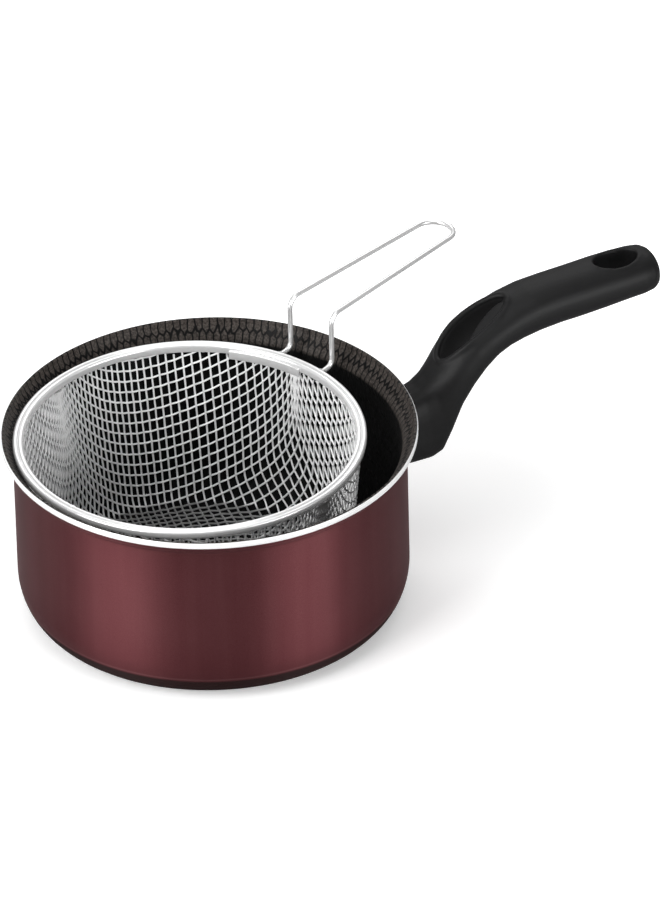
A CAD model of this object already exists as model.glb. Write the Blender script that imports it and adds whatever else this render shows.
"""Finished look of a deep frying pan with a loose strainer basket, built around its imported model.

Every length is in metres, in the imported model's own frame: +Z up, the pan's handle along +X.
"""
from __future__ import annotations

import logging
import math
from dataclasses import dataclass, field, replace

import bmesh
import bpy
from mathutils import Matrix, Vector
from mathutils.bvhtree import BVHTree

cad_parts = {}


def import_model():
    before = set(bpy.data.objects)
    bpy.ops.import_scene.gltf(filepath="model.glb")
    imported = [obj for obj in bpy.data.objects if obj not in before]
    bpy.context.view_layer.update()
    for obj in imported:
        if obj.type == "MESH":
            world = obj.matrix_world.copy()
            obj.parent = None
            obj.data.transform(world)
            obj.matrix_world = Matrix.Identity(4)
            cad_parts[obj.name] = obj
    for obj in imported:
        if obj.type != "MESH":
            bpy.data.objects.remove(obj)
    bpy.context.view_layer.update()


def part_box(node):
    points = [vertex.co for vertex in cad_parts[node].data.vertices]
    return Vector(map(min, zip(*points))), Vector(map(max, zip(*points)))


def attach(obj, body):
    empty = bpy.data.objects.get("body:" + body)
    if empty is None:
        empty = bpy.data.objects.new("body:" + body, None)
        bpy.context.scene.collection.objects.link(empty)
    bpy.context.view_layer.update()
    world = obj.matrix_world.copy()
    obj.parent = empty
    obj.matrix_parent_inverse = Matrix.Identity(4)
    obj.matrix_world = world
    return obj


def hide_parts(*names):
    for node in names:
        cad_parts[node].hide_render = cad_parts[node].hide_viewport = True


LOG = logging.getLogger("frying_pan")
UV_NAME = "profile"
FULL_TURN = 2 * math.pi
QUARTER_TURN = math.pi / 2
ROOT_3 = math.sqrt(3)
WELD_DISTANCE = 0.000002
JOINT_GAP = 0.0003
SHARP_ANGLE = math.radians(50)
UP = Vector((0.0, 0.0, 1.0))

Colour = tuple[float, float, float, float]
Point2 = tuple[float, float]


def grey(value: float) -> Colour:
    """Return an opaque neutral colour."""
    return (value, value, value, 1.0)


class Field:
    """A shader socket that takes part in Python arithmetic."""

    def __init__(self, graph: Graph, socket: bpy.types.NodeSocket) -> None:
        """Wrap a socket of a graph."""
        self.graph = graph
        self.socket = socket

    def apply(self, operation: str, *others: Field | float) -> Field:
        """Return a Math node's result with this field as its first value."""
        return self.graph.math(operation, self, *others)

    def __add__(self, other: Field | float) -> Field:
        """Add."""
        return self.apply("ADD", other)

    __radd__ = __add__

    def __sub__(self, other: Field | float) -> Field:
        """Subtract."""
        return self.apply("SUBTRACT", other)

    def __rsub__(self, other: float) -> Field:
        """Subtract this field from a number."""
        return self.graph.math("SUBTRACT", other, self)

    def __mul__(self, other: Field | float) -> Field:
        """Multiply."""
        return self.apply("MULTIPLY", other)

    __rmul__ = __mul__

    def __truediv__(self, other: Field | float) -> Field:
        """Divide."""
        return self.apply("DIVIDE", other)

    def ramp(self, low: float, high: float) -> Field:
        """Return 0 below low, 1 above high, and a smooth step between."""
        return self.graph.node(
            "ShaderNodeMapRange",
            {"interpolation_type": "SMOOTHSTEP"},
            {"Value": self, "From Min": low, "From Max": high},
            "Result",
        )

    def band(self, low: float, high: float, soft: float) -> Field:
        """Return 1 between low and high and 0 outside, with soft edges."""
        return self.ramp(low - soft, low + soft) * (1 - self.ramp(high - soft, high + soft))


class Graph:
    """A node tree whose sockets are handled as fields."""

    def __init__(self, tree: bpy.types.NodeTree) -> None:
        """Work on a tree."""
        self.tree = tree

    def fill(self, node: bpy.types.Node, sockets: dict) -> None:
        """Link fields to a node's inputs, or set the inputs' own values."""
        for name, value in sockets.items():
            if isinstance(value, Field):
                self.tree.links.new(value.socket, node.inputs[name])
            else:
                node.inputs[name].default_value = value

    def node(self, kind: str, settings: dict, sockets: dict, output: str | int) -> Field:
        """Add a node, set its properties, fill its inputs by name or number, and return an output."""
        made = self.tree.nodes.new(kind)
        for name, value in settings.items():
            setattr(made, name, value)
        self.fill(made, sockets)
        return Field(self, made.outputs[output])

    def math(self, operation: str, *values: Field | float) -> Field:
        """Add a Math node on fields and numbers."""
        return self.node("ShaderNodeMath", {"operation": operation}, dict(enumerate(values)), 0)

    def mix(self, first: Field | Colour, second: Field | Colour, share: Field) -> Field:
        """Mix two colours, with share as the second one's part."""
        sockets = {0: share, 6: first, 7: second}
        return self.node("ShaderNodeMix", {"data_type": "RGBA"}, sockets, 2)

    def place(self) -> Field:
        """Return the Object coordinates."""
        return self.node("ShaderNodeTexCoord", {}, {}, "Object")

    def camera_sees(self) -> Field:
        """Return 1 for what the camera sees directly, and 0 for all other light."""
        return self.node("ShaderNodeLightPath", {}, {}, "Is Camera Ray")

    def spread(self, value: Field, low: float, high: float, first: Field | float,
               last: Field | float) -> Field:
        """Return a value between low and high as one between first and last."""
        sockets = {"Value": value, "From Min": low, "From Max": high, "To Min": first, "To Max": last}
        return self.node("ShaderNodeMapRange", {}, sockets, "Result")

    def moved(self, vector: Field, scale: tuple[float, float, float]) -> Field:
        """Return a vector scaled by a Mapping node."""
        return self.node("ShaderNodeMapping", {}, {"Vector": vector, "Scale": scale}, "Vector")

    def part_of(self, vector: Field, axis: str) -> Field:
        """Return one axis of a vector."""
        return self.node("ShaderNodeSeparateXYZ", {}, {"Vector": vector}, axis)

    def noise(self, vector: Field, scale: float, detail: float) -> Field:
        """Return a noise texture's value, about 0.5 on average."""
        sockets = {"Vector": vector, "Scale": scale, "Detail": detail}
        return self.node("ShaderNodeTexNoise", {}, sockets, "Fac")

    def bump(self, height: Field, distance: float) -> Field:
        """Return a normal bent by a height."""
        sockets = {"Height": height, "Distance": distance}
        return self.node("ShaderNodeBump", {}, sockets, "Normal")


class Coat(Graph):
    """A material's node tree, with one Principled shader at its end."""

    def __init__(self, name: str) -> None:
        """Make a material that holds only its shader and its output."""
        self.material = bpy.data.materials.new(name)
        self.material.use_nodes = True
        super().__init__(self.material.node_tree)

    def shade(self, sockets: dict) -> bpy.types.Material:
        """Fill the Principled shader and return the material."""
        self.fill(self.tree.nodes["Principled BSDF"], sockets)
        return self.material


@dataclass(frozen=True)
class PanFinish:
    """The pan's coats by zone of its profile: non-stick inside, bare lip, wine-red outside, base.

    The piece's UV map holds the turn in u and the way along the profile in v, in metres. The first
    five fields are such ways. The crease is the line low on the wall where the wine-red coat ends.
    """

    lip_start: float
    lip_end: float
    flare_start: float
    shade_start: float
    crease: float
    cells_round: int
    wine_dark: Colour = (0.088, 0.021, 0.025, 1.0)
    wine_light: Colour = (0.168, 0.059, 0.064, 1.0)
    ridge_tone: Colour = (0.240, 0.110, 0.115, 1.0)
    scorched: Colour = (0.022, 0.009, 0.009, 1.0)
    coat_dark: Colour = (0.0230, 0.0195, 0.0175, 1.0)
    coat_light: Colour = (0.0760, 0.0650, 0.0580, 1.0)
    coat_deep: Colour = grey(0.0022)
    groove: Colour = grey(0.0012)
    metal_dark: Colour = grey(0.88)
    metal_light: Colour = grey(0.97)
    cell_length: float = 0.0135
    row_share: float = 0.75
    line_start: float = 0.360
    line_end: float = 0.445
    wobble_scale: float = 190.0
    wobble_across: float = 0.45
    wobble_along: float = 0.6
    lip_soft: float = 0.0001
    flare_soft: float = 0.0008
    crease_soft: float = 0.0006
    ridge_start: float = 0.0014
    ridge_end: float = 0.0004
    ridge_share: float = 0.30
    shade_share: float = 0.35
    flake_share: float = 0.35
    streak_share: float = 0.28
    cloud_share: float = 0.20
    coat_rough: float = 0.52
    lip_rough: float = 0.22
    wine_rough: float = 0.46
    relief: float = 0.0003

    def hexagons(self, graph: Graph, turn: Field, way: Field) -> Field:
        """Return the distance from the nearest hexagon's centre, 0.5 at its edge, a little uneven."""
        wobble = graph.noise(graph.place(), self.wobble_scale, detail=1.0) - 0.5
        across = turn * float(self.cells_round) + wobble * self.wobble_across
        along = way / self.cell_length * ROOT_3 * self.row_share - wobble * self.wobble_along
        found = []
        for shift in (0.0, 0.5):
            x = (across + shift).apply("FLOORED_MODULO", 1.0) - 0.5
            y = (along + shift * ROOT_3).apply("FLOORED_MODULO", ROOT_3) - ROOT_3 / 2
            x = x.apply("ABSOLUTE")
            y = y.apply("ABSOLUTE")
            found.append(x.apply("MAXIMUM", x * 0.5 + y * (ROOT_3 / 2)))
        return found[0].apply("MINIMUM", found[1])

    def material(self) -> bpy.types.Material:
        """Build the material."""
        graph = Coat("pan_coats")
        uv = graph.node("ShaderNodeUVMap", {"uv_map": UV_NAME}, {}, "UV")
        turn = graph.part_of(uv, "X")
        way = graph.part_of(uv, "Y")
        place = graph.place()
        outside = way.ramp(self.lip_end - self.lip_soft, self.lip_end + self.lip_soft)
        lip = way.band(self.lip_start, self.lip_end, self.lip_soft)

        flakes = graph.noise(place, scale=2600.0, detail=2.0)
        streaks = graph.noise(graph.moved(place, (90.0, 90.0, 3.0)), scale=1.0, detail=4.0)
        clouds = graph.noise(place, scale=14.0, detail=2.0)
        tone = (flakes - 0.5) * self.flake_share + (streaks - 0.5) * self.streak_share
        tone = tone + (clouds - 0.5) * self.cloud_share + 0.5
        wine = graph.mix(self.wine_dark, self.wine_light, tone.ramp(0.2, 0.8))
        low = way.ramp(self.crease - self.crease_soft, self.crease + 2 * self.crease_soft)
        ridge = way.band(self.crease - self.ridge_start, self.crease - self.ridge_end, self.crease_soft)
        fade = way.ramp(self.shade_start, self.crease)
        wine = graph.mix(wine, self.wine_dark, fade * self.shade_share)
        wine = graph.mix(wine, self.ridge_tone, ridge * self.ridge_share)
        wine = graph.mix(wine, self.scorched, low)

        cells = self.hexagons(graph, turn, way)
        line = cells.ramp(self.line_start, self.line_end)
        mottle = graph.noise(place, scale=900.0, detail=3.0)
        flare = way.ramp(self.flare_start - self.flare_soft, self.flare_start + self.flare_soft)
        face = graph.mix(self.coat_dark, self.coat_light, mottle.ramp(0.3, 0.75))
        face = graph.mix(self.coat_deep, face, flare)
        coat = graph.mix(face, self.groove, line)

        bare = graph.noise(graph.moved(place, (30.0, 30.0, 2400.0)), scale=1.0, detail=3.0)
        metal = graph.mix(self.metal_dark, self.metal_light, bare)

        colour = graph.mix(coat, metal, lip)
        colour = graph.mix(colour, wine, outside)
        rough = self.coat_rough + mottle * 0.10 - flare * 0.14
        rough = rough * (1 - lip) + lip * (self.lip_rough + bare * 0.12)
        rough = rough * (1 - outside) + outside * (self.wine_rough + streaks * 0.05 + low * 0.10)
        inside_bump = (1 - line) * 0.6 + mottle * 0.25
        height = inside_bump * (1 - outside) * (1 - lip) + outside * flakes * 0.03
        return graph.shade({
            "Base Color": colour,
            "Roughness": rough,
            "Metallic": lip * 0.25 + outside * (0.80 - low * 0.5),
            "Anisotropic": 0.85,
            "Anisotropic Rotation": 0.25,
            "Normal": graph.bump(height, self.relief),
            "Specular IOR Level": 0.14,
        })


@dataclass(frozen=True)
class MetalFinish:
    """A bare metal: its name, its tones, its roughness and its grain.

    A piece can be soiled below a height, where its tone drops to a share of its dark one.
    """

    name: str
    dark: float
    light: float
    rough_low: float
    rough_high: float
    grain: float
    grain_depth: float
    metallic: float = 1.0
    soiled_below: float = 0.0
    soiled_share: float = 0.33

    def material(self) -> bpy.types.Material:
        """Build the material."""
        graph = Coat(self.name)
        place = graph.place()
        fine = graph.noise(place, self.grain, detail=4.0)
        broad = graph.noise(place, self.grain / 24, detail=2.0)
        worn = (fine * 0.6 + broad * 0.6).ramp(0.35, 0.85)
        colour = graph.mix(grey(self.dark), grey(self.light), worn)
        if self.soiled_below:
            height = graph.part_of(place, "Z")
            clean = height.ramp(self.soiled_below - 0.0015, self.soiled_below + 0.0005)
            colour = graph.mix(grey(self.dark * self.soiled_share), colour, clean)
        return graph.shade({
            "Base Color": colour,
            "Roughness": self.rough_low + (self.rough_high - self.rough_low) * broad,
            "Metallic": self.metallic,
            "Normal": graph.bump(fine, self.grain_depth),
        })


POLISHED = MetalFinish(
    "polished", dark=0.88, light=0.98, rough_low=0.20, rough_high=0.30,
    grain=260.0, grain_depth=0.00002, metallic=0.50,
)
BENT_WIRE = MetalFinish(
    "bent_wire", dark=0.88, light=0.98, rough_low=0.18, rough_high=0.28,
    grain=260.0, grain_depth=0.00002, metallic=0.62,
)
DRAWN_WIRE = MetalFinish(
    "drawn_wire", dark=0.88, light=0.97, rough_low=0.40, rough_high=0.52,
    grain=700.0, grain_depth=0.00002, metallic=0.15,
)
ZINC = MetalFinish(
    "zinc", dark=0.52, light=0.68, rough_low=0.28, rough_high=0.42,
    grain=1500.0, grain_depth=0.00003,
)
CAST_ALUMINIUM = MetalFinish(
    "cast_aluminium", dark=0.62, light=0.80, rough_low=0.35, rough_high=0.55,
    grain=900.0, grain_depth=0.0001,
)
WELD = MetalFinish(
    "weld", dark=0.45, light=0.75, rough_low=0.30, rough_high=0.55,
    grain=1400.0, grain_depth=0.0002,
)


@dataclass(frozen=True)
class BakeliteFinish:
    """Black moulded bakelite with a fine satin grain."""

    dark: Colour = (0.0018, 0.0018, 0.0021, 1.0)
    light: Colour = (0.0040, 0.0040, 0.0044, 1.0)

    def material(self) -> bpy.types.Material:
        """Build the material."""
        graph = Coat("bakelite")
        place = graph.place()
        grain = graph.noise(place, scale=1700.0, detail=3.0)
        flow = graph.noise(graph.moved(place, (20.0, 70.0, 70.0)), scale=1.0, detail=3.0)
        tone = (grain * 0.35 + flow * 0.65).ramp(0.3, 0.72)
        return graph.shade({
            "Base Color": graph.mix(self.dark, self.light, tone),
            "Roughness": 0.46 + grain * 0.10 + flow * 0.06,
            "Normal": graph.bump(grain, 0.00006),
            "Specular IOR Level": 0.28,
        })


def add_object(name: str, data: bpy.types.ID) -> bpy.types.Object:
    """Link a new object to the scene."""
    made = bpy.data.objects.new(name, data)
    bpy.context.scene.collection.objects.link(made)
    return made


def finish_piece(name: str, build: bmesh.types.BMesh, material: bpy.types.Material,
                 sharp: float = SHARP_ANGLE) -> bpy.types.Object:
    """Turn a bmesh, which is freed, into a smooth object whose edges past an angle stay sharp."""
    mesh = bpy.data.meshes.new(name)
    build.to_mesh(mesh)
    build.free()
    mesh.materials.append(material)
    piece = add_object(name, mesh)
    mesh.shade_smooth()
    mesh.set_sharp_from_angle(angle=sharp)
    return piece


def evaluate(holder: bpy.types.Object) -> bmesh.types.BMesh:
    """Return an object's evaluated mesh, and remove the object."""
    mesh = bpy.data.meshes.new_from_object(
        holder.evaluated_get(bpy.context.evaluated_depsgraph_get())
    )
    build = bmesh.new()
    build.from_mesh(mesh)
    bpy.data.objects.remove(holder)
    bpy.data.meshes.remove(mesh)
    return build


def weld(build: bmesh.types.BMesh) -> None:
    """Join a mesh's doubled points and turn its faces outwards."""
    bmesh.ops.remove_doubles(build, verts=build.verts, dist=WELD_DISTANCE)
    bmesh.ops.recalc_face_normals(build, faces=build.faces)


def move(build: bmesh.types.BMesh, way: Vector) -> None:
    """Move a whole mesh."""
    bmesh.ops.translate(build, verts=build.verts, vec=way)


def soften(build: bmesh.types.BMesh, edges: list, radius: float, steps: int) -> None:
    """Round a mesh's edges."""
    bmesh.ops.bevel(
        build, geom=edges, offset=radius, segments=steps, profile=0.5, affect="EDGES", material=-1
    )


def arc(center: Point2, radius: float, start: float, end: float, steps: int) -> list[Point2]:
    """Return points on an arc, both ends included, with angles in degrees."""
    turns = [math.radians(start + (end - start) * step / steps) for step in range(steps + 1)]
    x, y = center
    return [(x + radius * math.cos(turn), y + radius * math.sin(turn)) for turn in turns]


def ease(share: float) -> float:
    """Return a smooth step of a share from 0 to 1."""
    return share * share * (3 - 2 * share)


def spin_profile(profile: list[Point2], closed: bool, steps: int) -> bmesh.types.BMesh:
    """Turn a profile of (radius, z) points once round the Z axis into a closed mesh.

    A closed profile joins its last point to its first, and an open one starts and ends on the axis.
    """
    build = bmesh.new()
    verts = [build.verts.new((radius, 0.0, z)) for radius, z in profile]
    ends = verts[1:] + verts[:1] if closed else verts[1:]
    edges = [build.edges.new(pair) for pair in zip(verts, ends)]
    bmesh.ops.spin(
        build, geom=verts + edges, cent=(0, 0, 0), axis=UP, angle=FULL_TURN, steps=steps, use_merge=True
    )
    weld(build)
    return build


def tube(name: str, routes: list[list[Vector]], radius: float, resolution: int,
         material: bpy.types.Material, radii: list[float] | None = None,
         cyclic: bool = False) -> bpy.types.Object:
    """Make round wire along routes, which are closed rings if cyclic, as one object.

    The wire has 4 sides and 2 more for each step of the resolution. Radii are shares of the radius
    along each route, where the wire isn't even.
    """
    curve = bpy.data.curves.new(name, "CURVE")
    curve.dimensions = "3D"
    curve.bevel_depth = radius
    curve.bevel_resolution = resolution
    curve.use_fill_caps = not cyclic
    for route in routes:
        spline = curve.splines.new("POLY")
        spline.points.add(len(route) - 1)
        spline.use_cyclic_u = cyclic
        for index, place in enumerate(route):
            spline.points[index].co = (*place, 1.0)
            if radii is not None:
                spline.points[index].radius = radii[index]
    build = evaluate(add_object(name + "_curve", curve))
    weld(build)
    bpy.data.curves.remove(curve)
    return finish_piece(name, build, material)


def dress(node: str, material: bpy.types.Material) -> None:
    """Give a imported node's object a finished material."""
    obj = bpy.data.objects[node]
    obj.data.materials.clear()
    obj.data.materials.append(material)


def place_piece(piece: bpy.types.Object, body: str, slot: str, *nodes: str) -> None:
    """Declare what a piece rides on, its material slot and the nodes it stands for."""
    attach(piece, body)
    if nodes:
        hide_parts(*nodes)
    LOG.info("%s: %d faces", piece.name, len(piece.data.polygons))


@dataclass
class Pan:
    """The pan's pressed shell and the pieces that hold its handle."""

    wall_radius: float = 0.104
    wall: float = 0.0026
    floor: float = 0.0034
    base_radius: float = 0.0890
    base_step: float = 0.0016
    base_step_width: float = 0.0012
    corner_height: float = 0.0240
    inner_corner: float = 0.0120
    flare_height: float = 0.0110
    lip_height: float = 0.0035
    lip_thickness: float = 0.0022
    lip_roll: float = 0.0006
    lip_tuck: float = 0.0009
    base_round: float = 0.0006
    crease_rise: float = 0.0205
    shade_rise: float = 0.0500
    corner_steps: int = 14
    wall_steps: int = 6
    flare_steps: int = 12
    lip_arc_steps: int = 12
    under_steps: int = 14
    side_steps: int = 8
    foot_steps: int = 18
    bare_from: int = 8
    cells_round: int = 170
    steps: int = 224
    rim_radius: float = field(init=False)
    height: float = field(init=False)

    def __post_init__(self) -> None:
        """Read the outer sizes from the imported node."""
        low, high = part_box("pan_body")
        self.rim_radius = (high[0] - low[0]) / 2
        self.height = high[2]

    def inner_profile(self) -> list[Point2]:
        """Return the profile from the floor's centre to the lip's inner edge."""
        inner = self.wall_radius - self.wall
        corner = (inner - self.inner_corner, self.floor + self.inner_corner)
        lip_inner = self.rim_radius - self.lip_thickness
        flare_low = self.height - self.flare_height
        flare_high = self.height - self.lip_thickness / 2
        points = [(0.0, self.floor), (corner[0] * 0.5, self.floor)]
        points += arc(corner, self.inner_corner, -90, 0, self.corner_steps)
        for step in range(1, self.wall_steps):
            points.append((inner, corner[1] + (flare_low - corner[1]) * step / self.wall_steps))
        for step in range(self.flare_steps):
            share = step / self.flare_steps
            points.append((
                inner + (lip_inner - inner) * ease(share), flare_low + (flare_high - flare_low) * share
            ))
        return points

    def lip_profile(self) -> list[Point2]:
        """Return the bare lip, over its round top and down its outer face."""
        half = self.lip_thickness / 2
        top = (self.rim_radius - half, self.height - half)
        points = arc(top, half, 180, 0, self.lip_arc_steps)
        low = self.height - self.lip_height
        points += arc((self.rim_radius - self.lip_roll, low + self.lip_roll), self.lip_roll, 0, -75, 5)
        return points

    def outer_profile(self) -> list[Point2]:
        """Return the coated outside, from under the lip to the base's centre."""
        low = self.height - self.lip_height
        flare = self.flare_height - self.lip_height
        tucked = self.rim_radius - self.lip_tuck
        points = []
        for step in range(1, self.under_steps + 1):
            share = step / self.under_steps
            points.append((tucked - (tucked - self.wall_radius) * ease(share), low - flare * share))
        wall_low = self.corner_height
        wall_high = low - flare
        for step in range(1, self.side_steps):
            fall = (wall_low - wall_high) * step / self.side_steps
            points.append((self.wall_radius, wall_high + fall))
        step_radius = self.base_radius + self.base_step_width
        for step in range(self.foot_steps + 1):
            turn = QUARTER_TURN * step / self.foot_steps
            points.append((
                step_radius + (self.wall_radius - step_radius) * math.cos(turn),
                wall_low - (wall_low - self.base_step) * math.sin(turn),
            ))
        edge = self.base_round
        points += [(self.base_radius + edge, self.base_step)]
        points += arc((self.base_radius - edge, edge), edge, 0, -90, 4)
        points += [(self.base_radius * 0.5, 0.0), (0.0, 0.0)]
        return points

    def build_shell(self) -> bpy.types.Object:
        """Build the shell with its zones and coats."""
        inner, lip, outer = self.inner_profile(), self.lip_profile(), self.outer_profile()
        profile = inner + lip + outer
        ways = [0.0]
        for here, there in zip(profile, profile[1:]):
            ways.append(ways[-1] + math.dist(here, there))
        marks = {(round(r, 6), round(z, 6)): way for (r, z), way in zip(profile, ways)}
        build = spin_profile(profile, False, self.steps)
        layer = build.loops.layers.uv.new(UV_NAME)
        for face in build.faces:
            middle = face.calc_center_median()
            center_turn = math.atan2(middle.y, middle.x) / FULL_TURN
            for loop in face.loops:
                co = loop.vert.co
                radius = math.hypot(co.x, co.y)
                turn = math.atan2(co.y, co.x) / FULL_TURN if radius > WELD_DISTANCE else center_turn
                turn += round(center_turn - turn)
                key = (round(radius, 6), round(co.z, 6))
                if key not in marks:
                    key = min(marks, key=lambda mark: abs(mark[0] - radius) + abs(mark[1] - co.z))
                loop[layer].uv = (turn, marks[key])
        base_way = ways[-5]
        coats = PanFinish(
            lip_start=ways[len(inner) + self.bare_from],
            lip_end=ways[len(inner) + len(lip) - 1],
            flare_start=ways[len(inner) - self.flare_steps],
            shade_start=base_way - self.shade_rise,
            crease=base_way - self.crease_rise,
            cells_round=self.cells_round,
        )
        return finish_piece("pan_shell", build, coats.material())

    def build(self) -> None:
        """Build the shell and dress the pieces that hold the handle."""
        place_piece(self.build_shell(), "pan", "pan_shell", "pan_body")
        zinc = ZINC.material()
        dress("handle_lug", CAST_ALUMINIUM.material())
        dress("handle_screw", zinc)
        dress("handle_washer", zinc)


@dataclass
class Grip:
    """The moulded handle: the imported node's form, with lips round its openings and soft edges.

    A shelf narrows the finger opening on its near side. It spans the steps from ledge_from to ledge_to
    of the route round that opening.
    """

    finger_length: float = 0.0470
    finger_width: float = 0.0200
    finger_tilt: float = math.radians(35)
    finger_center: Vector = field(default_factory=lambda: Vector((0.15868, 0.0, 0.11589)))
    hole_length: float = 0.0250
    hole_width: float = 0.0165
    hole_center: Vector = field(default_factory=lambda: Vector((0.23999, 0.0, 0.13)))
    finger_margin: float = 0.0013
    finger_lip: float = 0.0019
    hole_margin: float = 0.0012
    hole_lip: float = 0.0011
    lip_sink: float = 0.0007
    lip_steps: int = 72
    ledge_from: int = 51
    ledge_to: int = 69
    ledge_root: float = 0.0030
    ledge_base: float = 0.0010
    ledge_width: float = 0.0085
    ledge_lift: float = 0.0008
    ledge_tip: float = 0.0030
    ledge_heel: float = 0.0040
    ledge_fullness: float = 0.7
    voxel: float = 0.00075
    soften_rounds: int = 9
    sharp: float = math.radians(80)

    def lip_route(self, tree: BVHTree, center: Vector, tilt: float, length: float, width: float,
                  margin: float) -> list[Vector]:
        """Follow an oval on the handle's surface, a margin outside an opening that leans back."""
        lean = Matrix.Rotation(-tilt, 3, "Y")
        down = lean @ Vector((0.0, 0.0, -1.0))
        points = []
        for step in range(self.lip_steps):
            turn = FULL_TURN * step / self.lip_steps
            flat = Vector((
                (length / 2 + margin) * math.cos(turn), (width / 2 + margin) * math.sin(turn), 0.05
            ))
            hit = tree.ray_cast(center + lean @ flat, down)[0]
            if hit is not None:
                points.append(hit + down * self.lip_sink)
        return points

    def ledge(self, edge: list[Vector]) -> bmesh.types.BMesh:
        """Build the leaf-shaped shelf from the oval just outside the finger opening."""
        lean = Matrix.Rotation(-self.finger_tilt, 3, "Y")
        down, inward = lean @ Vector((0.0, 0.0, -1.0)), Vector((0.0, 1.0, 0.0))
        build = bmesh.new()
        rings = []
        part = edge[self.ledge_from:self.ledge_to]
        for index, point in enumerate(part):
            swell = math.sin(math.pi * index / (len(part) - 1)) ** self.ledge_fullness
            root = point + down * self.ledge_root
            reach = self.ledge_base + self.ledge_width * swell
            tongue = point + inward * reach - down * self.ledge_lift
            corners = (root, tongue, tongue + down * self.ledge_tip, root + down * self.ledge_heel)
            rings.append([build.verts.new(corner) for corner in corners])
        for here, there in zip(rings, rings[1:]):
            for side in range(4):
                after = (side + 1) % 4
                build.faces.new((here[side], here[after], there[after], there[side]))
        build.faces.new(rings[0])
        build.faces.new(rings[-1])
        bmesh.ops.recalc_face_normals(build, faces=build.faces)
        return build

    def build(self) -> None:
        """Build the handle."""
        source = bpy.data.objects["pan_handle"]
        build = bmesh.new()
        build.from_mesh(source.data)
        bmesh.ops.remove_doubles(build, verts=build.verts, dist=WELD_DISTANCE)
        tree = BVHTree.FromBMesh(build)
        material = BakeliteFinish().material()
        blank = finish_piece("moulded_handle", build, material)
        finger = self.lip_route(
            tree, self.finger_center, self.finger_tilt, self.finger_length, self.finger_width,
            self.finger_margin,
        )
        hole = self.lip_route(
            tree, self.hole_center, 0.0, self.hole_length, self.hole_width, self.hole_margin
        )
        lips = [
            tube("finger_lip", [finger], self.finger_lip, 3, material, cyclic=True),
            tube("hole_lip", [hole], self.hole_lip, 3, material, cyclic=True),
            finish_piece("finger_ledge", self.ledge(finger), material),
        ]
        joined = bmesh.new()
        for piece in [blank] + lips:
            joined.from_mesh(piece.data)
        joined.to_mesh(blank.data)
        joined.free()
        for lip in lips:
            bpy.data.objects.remove(lip)
        remesh = blank.modifiers.new("remesh", "REMESH")
        remesh.mode = "VOXEL"
        remesh.voxel_size = self.voxel
        smoothing = blank.modifiers.new("soften", "SMOOTH")
        smoothing.factor = 0.5
        smoothing.iterations = self.soften_rounds
        piece = finish_piece("moulded_grip", evaluate(blank), material, self.sharp)
        place_piece(piece, "pan", "bakelite", "pan_handle")


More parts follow.
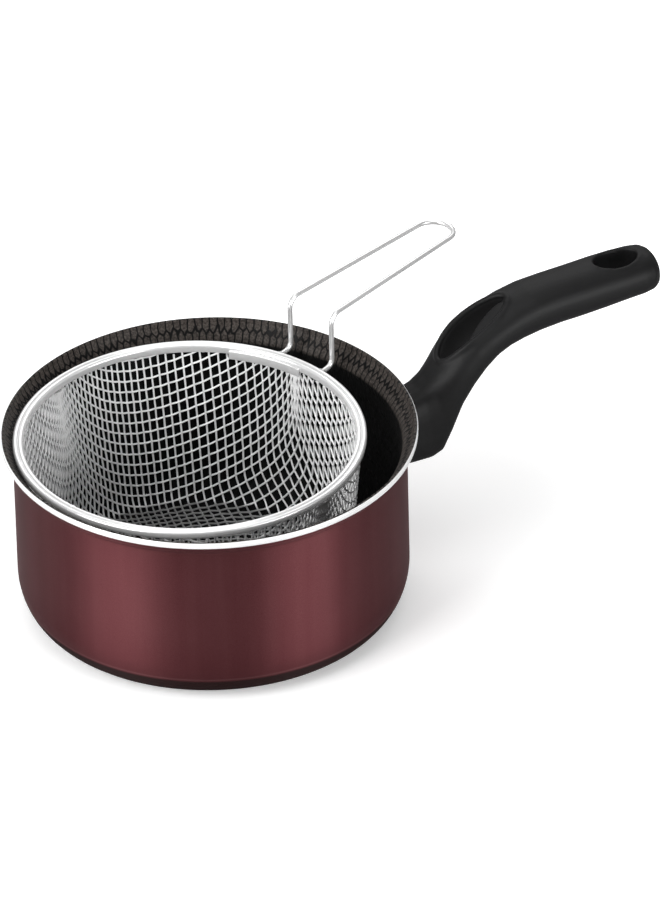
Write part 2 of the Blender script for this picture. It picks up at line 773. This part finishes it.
@dataclass
class Basket:
    """The strainer basket: woven cup, folded rim, plate and bent wire handle.

    Attributes:
        cup_seat_share: Where the cup's top edge lies across the rim band.
        draw: How many times longer the wall is than the cloth that it is drawn from.
        crimp: How far a wire swings to either side at a crossing.
        twist: How far the wall's wires lean sideways at the top.
        skew: How strongly the cloth is pulled along a diagonal.
        slack: The share by which the wires keep to the plain way instead of the trellis.
        plate_lead: How far the plate's middle lies past the wire handle.
    """

    rim_width: float = 0.0056
    rim_edge: float = 0.0015
    rim_low_edge: float = 0.0022
    rim_inner_edge: float = 0.0009
    rim_sink: float = 0.0006
    cup_seat_share: float = 0.42
    cup_floor_radius: float = 0.0820
    cup_corner: float = 0.0080
    pitch: float = 0.0039
    draw: float = 1.62
    mesh_wire: float = 0.00052
    crimp: float = 0.00034
    weave_turn: float = math.radians(69)
    twist: float = -0.04
    skew: float = 1.22
    slack: float = 0.13
    wire: float = 0.0014
    handle_turn: float = math.radians(25)
    foot_spacing: float = 0.0283
    loop_spacing: float = 0.0215
    leg_rise: float = 0.0285
    leg_lean: float = 0.0088
    run_length: float = 0.1150
    run_drop: float = 0.0055
    foot_bend: float = 0.0045
    leg_bend: float = 0.0065
    plate_height: float = 0.0050
    plate_thickness: float = 0.0008
    plate_angle: float = math.radians(28)
    plate_lead: float = math.radians(12)
    plate_round: float = 0.00025
    seam_share: float = 1.03
    seam_length: float = 0.0012
    seam_height: float = 0.0048
    seam_round: float = 0.0006
    seam_turn: float = math.radians(201.5)
    bend_steps: int = 14
    loop_steps: int = 32
    butt_offset: int = 3
    butt_swell: float = 0.16
    butt_reach: float = 0.8
    weld_size: Vector = field(default_factory=lambda: Vector((0.0017, 0.0026, 0.0017)))
    weld_waviness: float = 0.14
    steps: int = 216
    center: Vector = field(init=False)
    rim_radius: float = field(init=False)
    rim_top: float = field(init=False)
    rim_low: float = field(init=False)
    cup_low: float = field(init=False)

    def __post_init__(self) -> None:
        """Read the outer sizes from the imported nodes."""
        low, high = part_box("basket_rim")
        self.center = Vector(((low[0] + high[0]) / 2, (low[1] + high[1]) / 2, 0.0))
        self.rim_radius = (high[0] - low[0]) / 2
        self.rim_top = high[2]
        self.rim_low = low[2]
        self.cup_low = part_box("basket_mesh")[0][2]

    @property
    def inner_radius(self) -> float:
        """The rim band's inner radius."""
        return self.rim_radius - self.rim_width

    def cup_point(self, azimuth: float, way: float, lift: float) -> Vector:
        """Return a point of the cup.

        Args:
            azimuth: The direction from the cup's axis.
            way: The way along the cup's profile from its centre.
            lift: How far the point stands off the cup's middle surface, outwards.
        """
        flat = self.cup_floor_radius - self.cup_corner
        bend = self.cup_corner * QUARTER_TURN
        floor_z = self.cup_low + 2 * self.mesh_wire
        if way < flat:
            radius, z, out = way, floor_z, -QUARTER_TURN
        elif way < flat + bend:
            out = (way - flat) / self.cup_corner - QUARTER_TURN
            radius = flat + self.cup_corner * math.cos(out)
            z = floor_z + self.cup_corner + self.cup_corner * math.sin(out)
        else:
            top_radius = self.inner_radius + self.rim_width * self.cup_seat_share
            rise = way - flat - bend
            full = self.rim_low - floor_z - self.cup_corner
            out = 0.0
            radius = self.cup_floor_radius + (top_radius - self.cup_floor_radius) * rise / full
            z = floor_z + self.cup_corner + rise
        radius += lift * math.cos(out)
        z += lift * math.sin(out)
        return self.center + Vector((radius * math.cos(azimuth), radius * math.sin(azimuth), z))

    def draw_cloth(self, u: float, v: float) -> Point2:
        """Return where a point of the flat cloth lies once the cup is drawn.

        The wires shear like a trellis, apart from a share of slack. On the side wall the two families
        of wires each wrap by the part of the way that they spent on the floor, and the wall is drawn
        longer than the cloth by a factor. At the end the azimuths are pulled towards a diagonal of the
        weave by the skew, on the floor and the wall alike.

        Args:
            u: The cloth coordinate across.
            v: The cloth coordinate along the weave's own direction.

        Returns:
            The azimuth from that direction and the way from the cup's centre.
        """
        edge = self.cup_floor_radius - self.cup_corner + self.cup_corner * QUARTER_TURN / 2
        side_u, side_v = abs(u), abs(v)
        flat = math.hypot(u, v)
        azimuth, way = math.atan2(side_u, side_v), flat
        if flat > edge:
            turn_u = math.asin(min(side_u / edge, 1.0))
            turn_v = math.acos(min(side_v / edge, 1.0))
            drawn = (turn_u + turn_v) / 2 + (math.sin(2 * turn_u) - math.sin(2 * turn_v)) / 4
            rise = (min(side_u, edge) ** 2 + min(side_v, edge) ** 2) / (2 * edge) - edge / 2
            rise += max(side_u - edge, 0.0) + max(side_v - edge, 0.0)
            part = self.slack * ease(min(rise / edge, 1.0))
            azimuth = drawn + (azimuth - drawn) * part
            way = edge + (rise + (flat - edge - rise) * part) * self.draw
        if u < 0:
            azimuth = -azimuth
        if v < 0:
            azimuth = math.pi - azimuth
        leaning = azimuth + QUARTER_TURN / 2
        pulled = math.atan2(math.sin(leaning) / self.skew, math.cos(leaning) * self.skew)
        return pulled - QUARTER_TURN / 2, way

    def top_way(self) -> float:
        """Return the way from the cup's centre to its top edge inside the rim."""
        floor_z = self.cup_low + 2 * self.mesh_wire
        wall = self.rim_low + self.rim_sink - floor_z - self.cup_corner
        return self.cup_floor_radius - self.cup_corner + self.cup_corner * QUARTER_TURN + wall

    def wires(self, crosswise: bool) -> list[list[Vector]]:
        """Return the routes, clipped at the cup's top, of the wires across or along the weave."""
        top = self.top_way()
        wall = top - self.cup_floor_radius
        rows, marks = math.ceil(2 * top / self.pitch), math.ceil(4 * top / self.pitch)
        routes = []
        for row in range(-rows, rows):
            fixed = (row + 0.5) * self.pitch
            route = []
            for mark in range(-marks, marks + 1):
                free = mark * self.pitch / 2
                azimuth, way = self.draw_cloth(*((free, fixed) if crosswise else (fixed, free)))
                if way > top:
                    continue
                lift = 0.0
                if mark % 2:
                    over = (row + (mark - 1) // 2) % 2 == 0
                    lift = self.crimp * (1 if over == crosswise else -1)
                lean = self.twist * max(way - self.cup_floor_radius, 0.0) / wall
                route.append(self.cup_point(self.weave_turn - azimuth - lean, way, lift))
            if len(route) > 3:
                routes.append(route)
        return routes

    def build_cup(self) -> None:
        """Build both families of the woven wires."""
        wire = replace(DRAWN_WIRE, soiled_below=self.cup_low + self.cup_corner * 0.5).material()
        warp = tube("mesh_warp", self.wires(False), self.mesh_wire, 1, wire)
        weft = tube("mesh_weft", self.wires(True), self.mesh_wire, 1, wire)
        place_piece(warp, "basket", "mesh_wire", "basket_mesh")
        place_piece(weft, "basket", "mesh_wire", "basket_mesh")

    def rim_profile(self) -> list[Point2]:
        """Return the folded band's section: two beads on top, a sunk web between, and round sides."""
        outer, inner, bead = self.rim_radius, self.inner_radius, self.rim_edge
        low, inner_low = self.rim_low_edge, self.rim_inner_edge
        points = arc((outer - bead, self.rim_top - bead), bead, 130, 0, 12)
        points += arc((outer - low, self.rim_low + low), low, 0, -90, 8)
        points += arc((inner + inner_low, self.rim_low + inner_low), inner_low, -90, -180, 4)
        points += arc((inner + bead, self.rim_top - bead), bead, 180, 50, 12)
        middle = (inner + outer) / 2
        points += [(middle, self.rim_top - self.rim_sink)]
        return points

    def build_rim(self, steel: bpy.types.Material) -> None:
        """Build the rim band and the seam where its ends meet."""
        build = spin_profile(self.rim_profile(), True, self.steps)
        move(build, self.center)
        place_piece(finish_piece("rim_band", build, steel), "basket", "bright_steel", "basket_rim")

        seam = bmesh.new()
        bmesh.ops.create_cube(seam, size=1.0)
        size = (self.rim_width * self.seam_share, self.seam_length, self.seam_height)
        bmesh.ops.scale(seam, vec=size, verts=seam.verts)
        soften(seam, list(seam.edges), self.seam_round, 3)
        middle = Vector((self.rim_radius - self.rim_width / 2, 0.0, (self.rim_top + self.rim_low) / 2))
        move(seam, middle)
        turn = Matrix.Rotation(self.seam_turn, 3, "Z")
        bmesh.ops.rotate(seam, verts=seam.verts, cent=(0, 0, 0), matrix=turn)
        move(seam, self.center)
        place_piece(finish_piece("rim_seam", seam, steel), "basket", "bright_steel")

    def build_plate(self, steel: bpy.types.Material) -> None:
        """Build the curved plate behind the feet."""
        outer = self.inner_radius - JOINT_GAP
        top = self.rim_top - self.rim_low_edge
        build = bmesh.new()
        corners = (
            (outer - self.plate_thickness, top - self.plate_height), (outer, top - self.plate_height),
            (outer, top), (outer - self.plate_thickness, top),
        )
        start = self.handle_turn + self.plate_lead - self.plate_angle / 2
        turn = Matrix.Rotation(start, 3, "Z")
        verts = [build.verts.new(turn @ Vector((radius, 0.0, z))) for radius, z in corners]
        face = build.faces.new(verts)
        bmesh.ops.spin(build, geom=[face], cent=(0, 0, 0), axis=UP, angle=self.plate_angle, steps=36)
        bmesh.ops.recalc_face_normals(build, faces=build.faces)
        sharp = [edge for edge in build.edges if edge.calc_face_angle(0.0) > 1.0]
        soften(build, sharp, self.plate_round, 2)
        move(build, self.center)
        place_piece(finish_piece("back_plate", build, steel), "basket", "bright_steel", "handle_plate")

    def bend(self, before: Vector, corner: Vector, after: Vector, radius: float) -> list[Vector]:
        """Return points that round a corner of a wire's route."""
        incoming = (before - corner).normalized()
        outgoing = (after - corner).normalized()
        half = incoming.angle(outgoing) / 2
        center = corner + (incoming + outgoing).normalized() * (radius / math.sin(half))
        start = corner + incoming * (radius / math.tan(half)) - center
        axis = outgoing.cross(incoming).normalized()
        sweep, steps = math.pi - 2 * half, self.bend_steps
        turns = [sweep * step / steps for step in range(steps + 1)]
        return [center + Matrix.Rotation(turn, 3, axis) @ start for turn in turns]

    def handle_route(self) -> list[Vector]:
        """Return the bent wire's route from foot to foot."""
        side, loop = self.foot_spacing / 2, self.loop_spacing / 2
        foot_x = math.sqrt((self.rim_radius + JOINT_GAP) ** 2 - side ** 2)
        foot_z = (self.rim_top + self.rim_low) / 2
        run_z = self.rim_top + self.leg_rise
        toe_x = foot_x + self.leg_lean
        end_x = toe_x + self.run_length - loop
        foot = Vector((foot_x, side, foot_z))
        toe = Vector((toe_x, side, foot_z))
        knee = Vector((toe_x, side, run_z))
        ring = []
        for step in range(self.loop_steps + 1):
            turn = math.pi * step / self.loop_steps
            x = end_x + loop * math.sin(turn)
            drop = self.run_drop * (x - toe_x) / self.run_length
            ring.append(Vector((x, loop * math.cos(turn), run_z - drop)))
        left = [foot] + self.bend(foot, toe, knee, self.foot_bend)
        left += self.bend(toe, knee, ring[0], self.leg_bend)
        right = [Vector((point.x, -point.y, point.z)) for point in reversed(left)]
        turned = Matrix.Rotation(self.handle_turn, 3, "Z")
        return [self.center + turned @ point for point in left + ring + right]

    def build_handle(self, steel: bpy.types.Material) -> None:
        """Build the wire handle, with the upset of its butt weld, and the welds at its feet."""
        route = self.handle_route()
        butt_at = len(route) // 2 + self.butt_offset
        steps_away = [(index - butt_at) / self.butt_reach for index in range(len(route))]
        radii = [1.0 + self.butt_swell * math.exp(-(away ** 2)) for away in steps_away]
        handle = tube("wire_handle", [route], self.wire, 5, steel, radii)
        place_piece(handle, "basket", "bright_steel", "basket_handle")
        rough = WELD.material()
        for name, foot in (("foot_weld_left", route[0]), ("foot_weld_right", route[-1])):
            build = bmesh.new()
            bmesh.ops.create_icosphere(build, subdivisions=3, radius=1.0)
            for vert in build.verts:
                x, y, z = vert.co
                wave = math.sin(x * 7) * math.sin(y * 6 + 1) * math.sin(z * 5 + 2)
                vert.co *= 1 + self.weld_waviness * wave
            bmesh.ops.scale(build, vec=self.weld_size, verts=build.verts)
            outward = foot - self.center
            turn = Matrix.Rotation(math.atan2(outward.y, outward.x), 3, "Z")
            bmesh.ops.rotate(build, verts=build.verts, cent=(0, 0, 0), matrix=turn)
            move(build, foot)
            place_piece(finish_piece(name, build, rough), "basket", "bright_steel")

    def build(self) -> None:
        """Build every piece of the basket."""
        bright = POLISHED.material()
        self.build_cup()
        self.build_rim(bright)
        self.build_plate(bright)
        self.build_handle(BENT_WIRE.material())


@dataclass(frozen=True)
class Lamp:
    """A soft lamp that faces the pan, with its power in watts.

    The azimuth is in degrees to the right of the camera, and the elevation in degrees above the floor.
    """

    name: str
    azimuth: float
    elevation: float
    distance: float
    size: Point2
    power: float


LAMPS = (
    Lamp("left_softbox", azimuth=-53, elevation=26, distance=1.4, size=(0.90, 1.3), power=21.0),
    Lamp("right_softbox", azimuth=49, elevation=9, distance=1.4, size=(0.95, 0.8), power=15.0),
    Lamp("overhead", azimuth=0, elevation=80, distance=1.8, size=(1.4, 1.4), power=11.0),
    Lamp("back_softbox", azimuth=180, elevation=42, distance=1.5, size=(1.3, 0.6), power=5.0),
)


@dataclass
class Studio:
    """The camera, the lamps, the world and the pale floor."""

    elevation: float = math.radians(33.1)
    handle_back: float = math.radians(25)
    roll: float = math.radians(1.5)
    distance: float = 6.0
    frame_height: float = 0.4737
    sensor: float = 36.0
    aim_right: float = 0.0632
    aim_up: float = -0.0130
    lamp_target: Vector = field(default_factory=lambda: Vector((0.03, 0.0, 0.06)))
    floor_size: float = 9.0
    floor_gap: float = 0.0002
    floor_white: float = 0.95
    floor_bounce: float = 0.48
    floor_glow: float = 0.28
    floor_glow_start: float = 0.10
    floor_glow_end: float = 0.70
    world_front: float = 0.12
    world_back: float = 0.34
    world_back_until: float = -0.25
    world_front_from: float = 0.85

    def directions(self) -> tuple[Vector, Vector, Vector]:
        """Return the picture's right, its up and the way back to the camera."""
        right = Vector((math.cos(self.handle_back), -math.sin(self.handle_back), 0.0))
        back = Vector((math.sin(self.handle_back), math.cos(self.handle_back), 0.0))
        toward = -back * math.cos(self.elevation) + UP * math.sin(self.elevation)
        return right, toward.cross(right), toward

    def build_camera(self, rim_height: float) -> None:
        """Place the camera at the photograph's viewing angle."""
        right, up, toward = self.directions()
        aim = Vector((0.0, 0.0, rim_height)) + right * self.aim_right + up * self.aim_up
        data = bpy.data.cameras.new("camera")
        data.sensor_width = self.sensor
        data.lens = self.sensor * self.distance / self.frame_height
        camera = add_object("camera", data)
        axes = Matrix((right, up, toward)).transposed()
        camera.rotation_euler = (axes @ Matrix.Rotation(-self.roll, 3, "Z")).to_euler()
        camera.location = aim + toward * self.distance
        bpy.context.scene.camera = camera

    def build_lamp(self, lamp: Lamp) -> None:
        """Place a lamp."""
        right, _, _ = self.directions()
        front = right.cross(UP)
        turn, rise = math.radians(lamp.azimuth), math.radians(lamp.elevation)
        flat = front * math.cos(turn) + right * math.sin(turn)
        way = flat * math.cos(rise) + UP * math.sin(rise)
        data = bpy.data.lights.new(lamp.name, "AREA")
        data.shape = "RECTANGLE"
        data.size, data.size_y = lamp.size
        data.energy = lamp.power
        holder = add_object(lamp.name, data)
        holder.location = self.lamp_target + way * lamp.distance
        holder.rotation_euler = way.to_track_quat("Z", "Y").to_euler()

    def build_floor(self) -> None:
        """Lay the pale floor."""
        graph = Coat("pale_floor")
        camera_sees = graph.camera_sees()
        far = graph.node("ShaderNodeVectorMath", {"operation": "LENGTH"}, {0: graph.place()}, "Value")
        glow = self.floor_glow + far.ramp(self.floor_glow_start, self.floor_glow_end)
        material = graph.shade({
            "Base Color": graph.mix(grey(self.floor_bounce), grey(self.floor_white), camera_sees),
            "Roughness": 0.9,
            "Specular IOR Level": 0.1,
            "Emission Color": grey(1.0),
            "Emission Strength": camera_sees * glow,
        })
        build = bmesh.new()
        bmesh.ops.create_grid(build, x_segments=1, y_segments=1, size=self.floor_size)
        move(build, -UP * self.floor_gap)
        floor = finish_piece("floor", build, material)

    def build_world(self) -> None:
        """Set the surroundings: white to the camera, softer to the object."""
        world = bpy.data.worlds.new("studio")
        world.use_nodes = True
        bpy.context.scene.world = world
        graph = Graph(world.node_tree)
        _, _, toward = self.directions()
        direction = graph.node("ShaderNodeTexCoord", {}, {}, "Generated")
        facing = graph.node(
            "ShaderNodeVectorMath", {"operation": "DOT_PRODUCT"}, {0: direction, 1: toward}, "Value"
        )
        glow = graph.spread(
            facing, self.world_back_until, self.world_front_from, self.world_back, self.world_front
        )
        strength = graph.spread(graph.camera_sees(), 0.0, 1.0, glow, 1.0)
        graph.fill(graph.tree.nodes["Background"], {"Color": grey(1.0), "Strength": strength})

    def build(self, rim_height: float) -> None:
        """Build the whole studio."""
        self.build_camera(rim_height)
        self.build_world()
        self.build_floor()
        for lamp in LAMPS:
            self.build_lamp(lamp)
        bpy.context.scene.view_settings.view_transform = "Standard"


def main() -> None:
    """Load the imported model, dress it and light it."""
    logging.basicConfig(level=logging.INFO, format="%(name)s: %(message)s")
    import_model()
    pan = Pan()
    Studio().build(pan.height)
    pan.build()
    Grip().build()
    Basket().build()


if __name__ == "__main__":
    main()
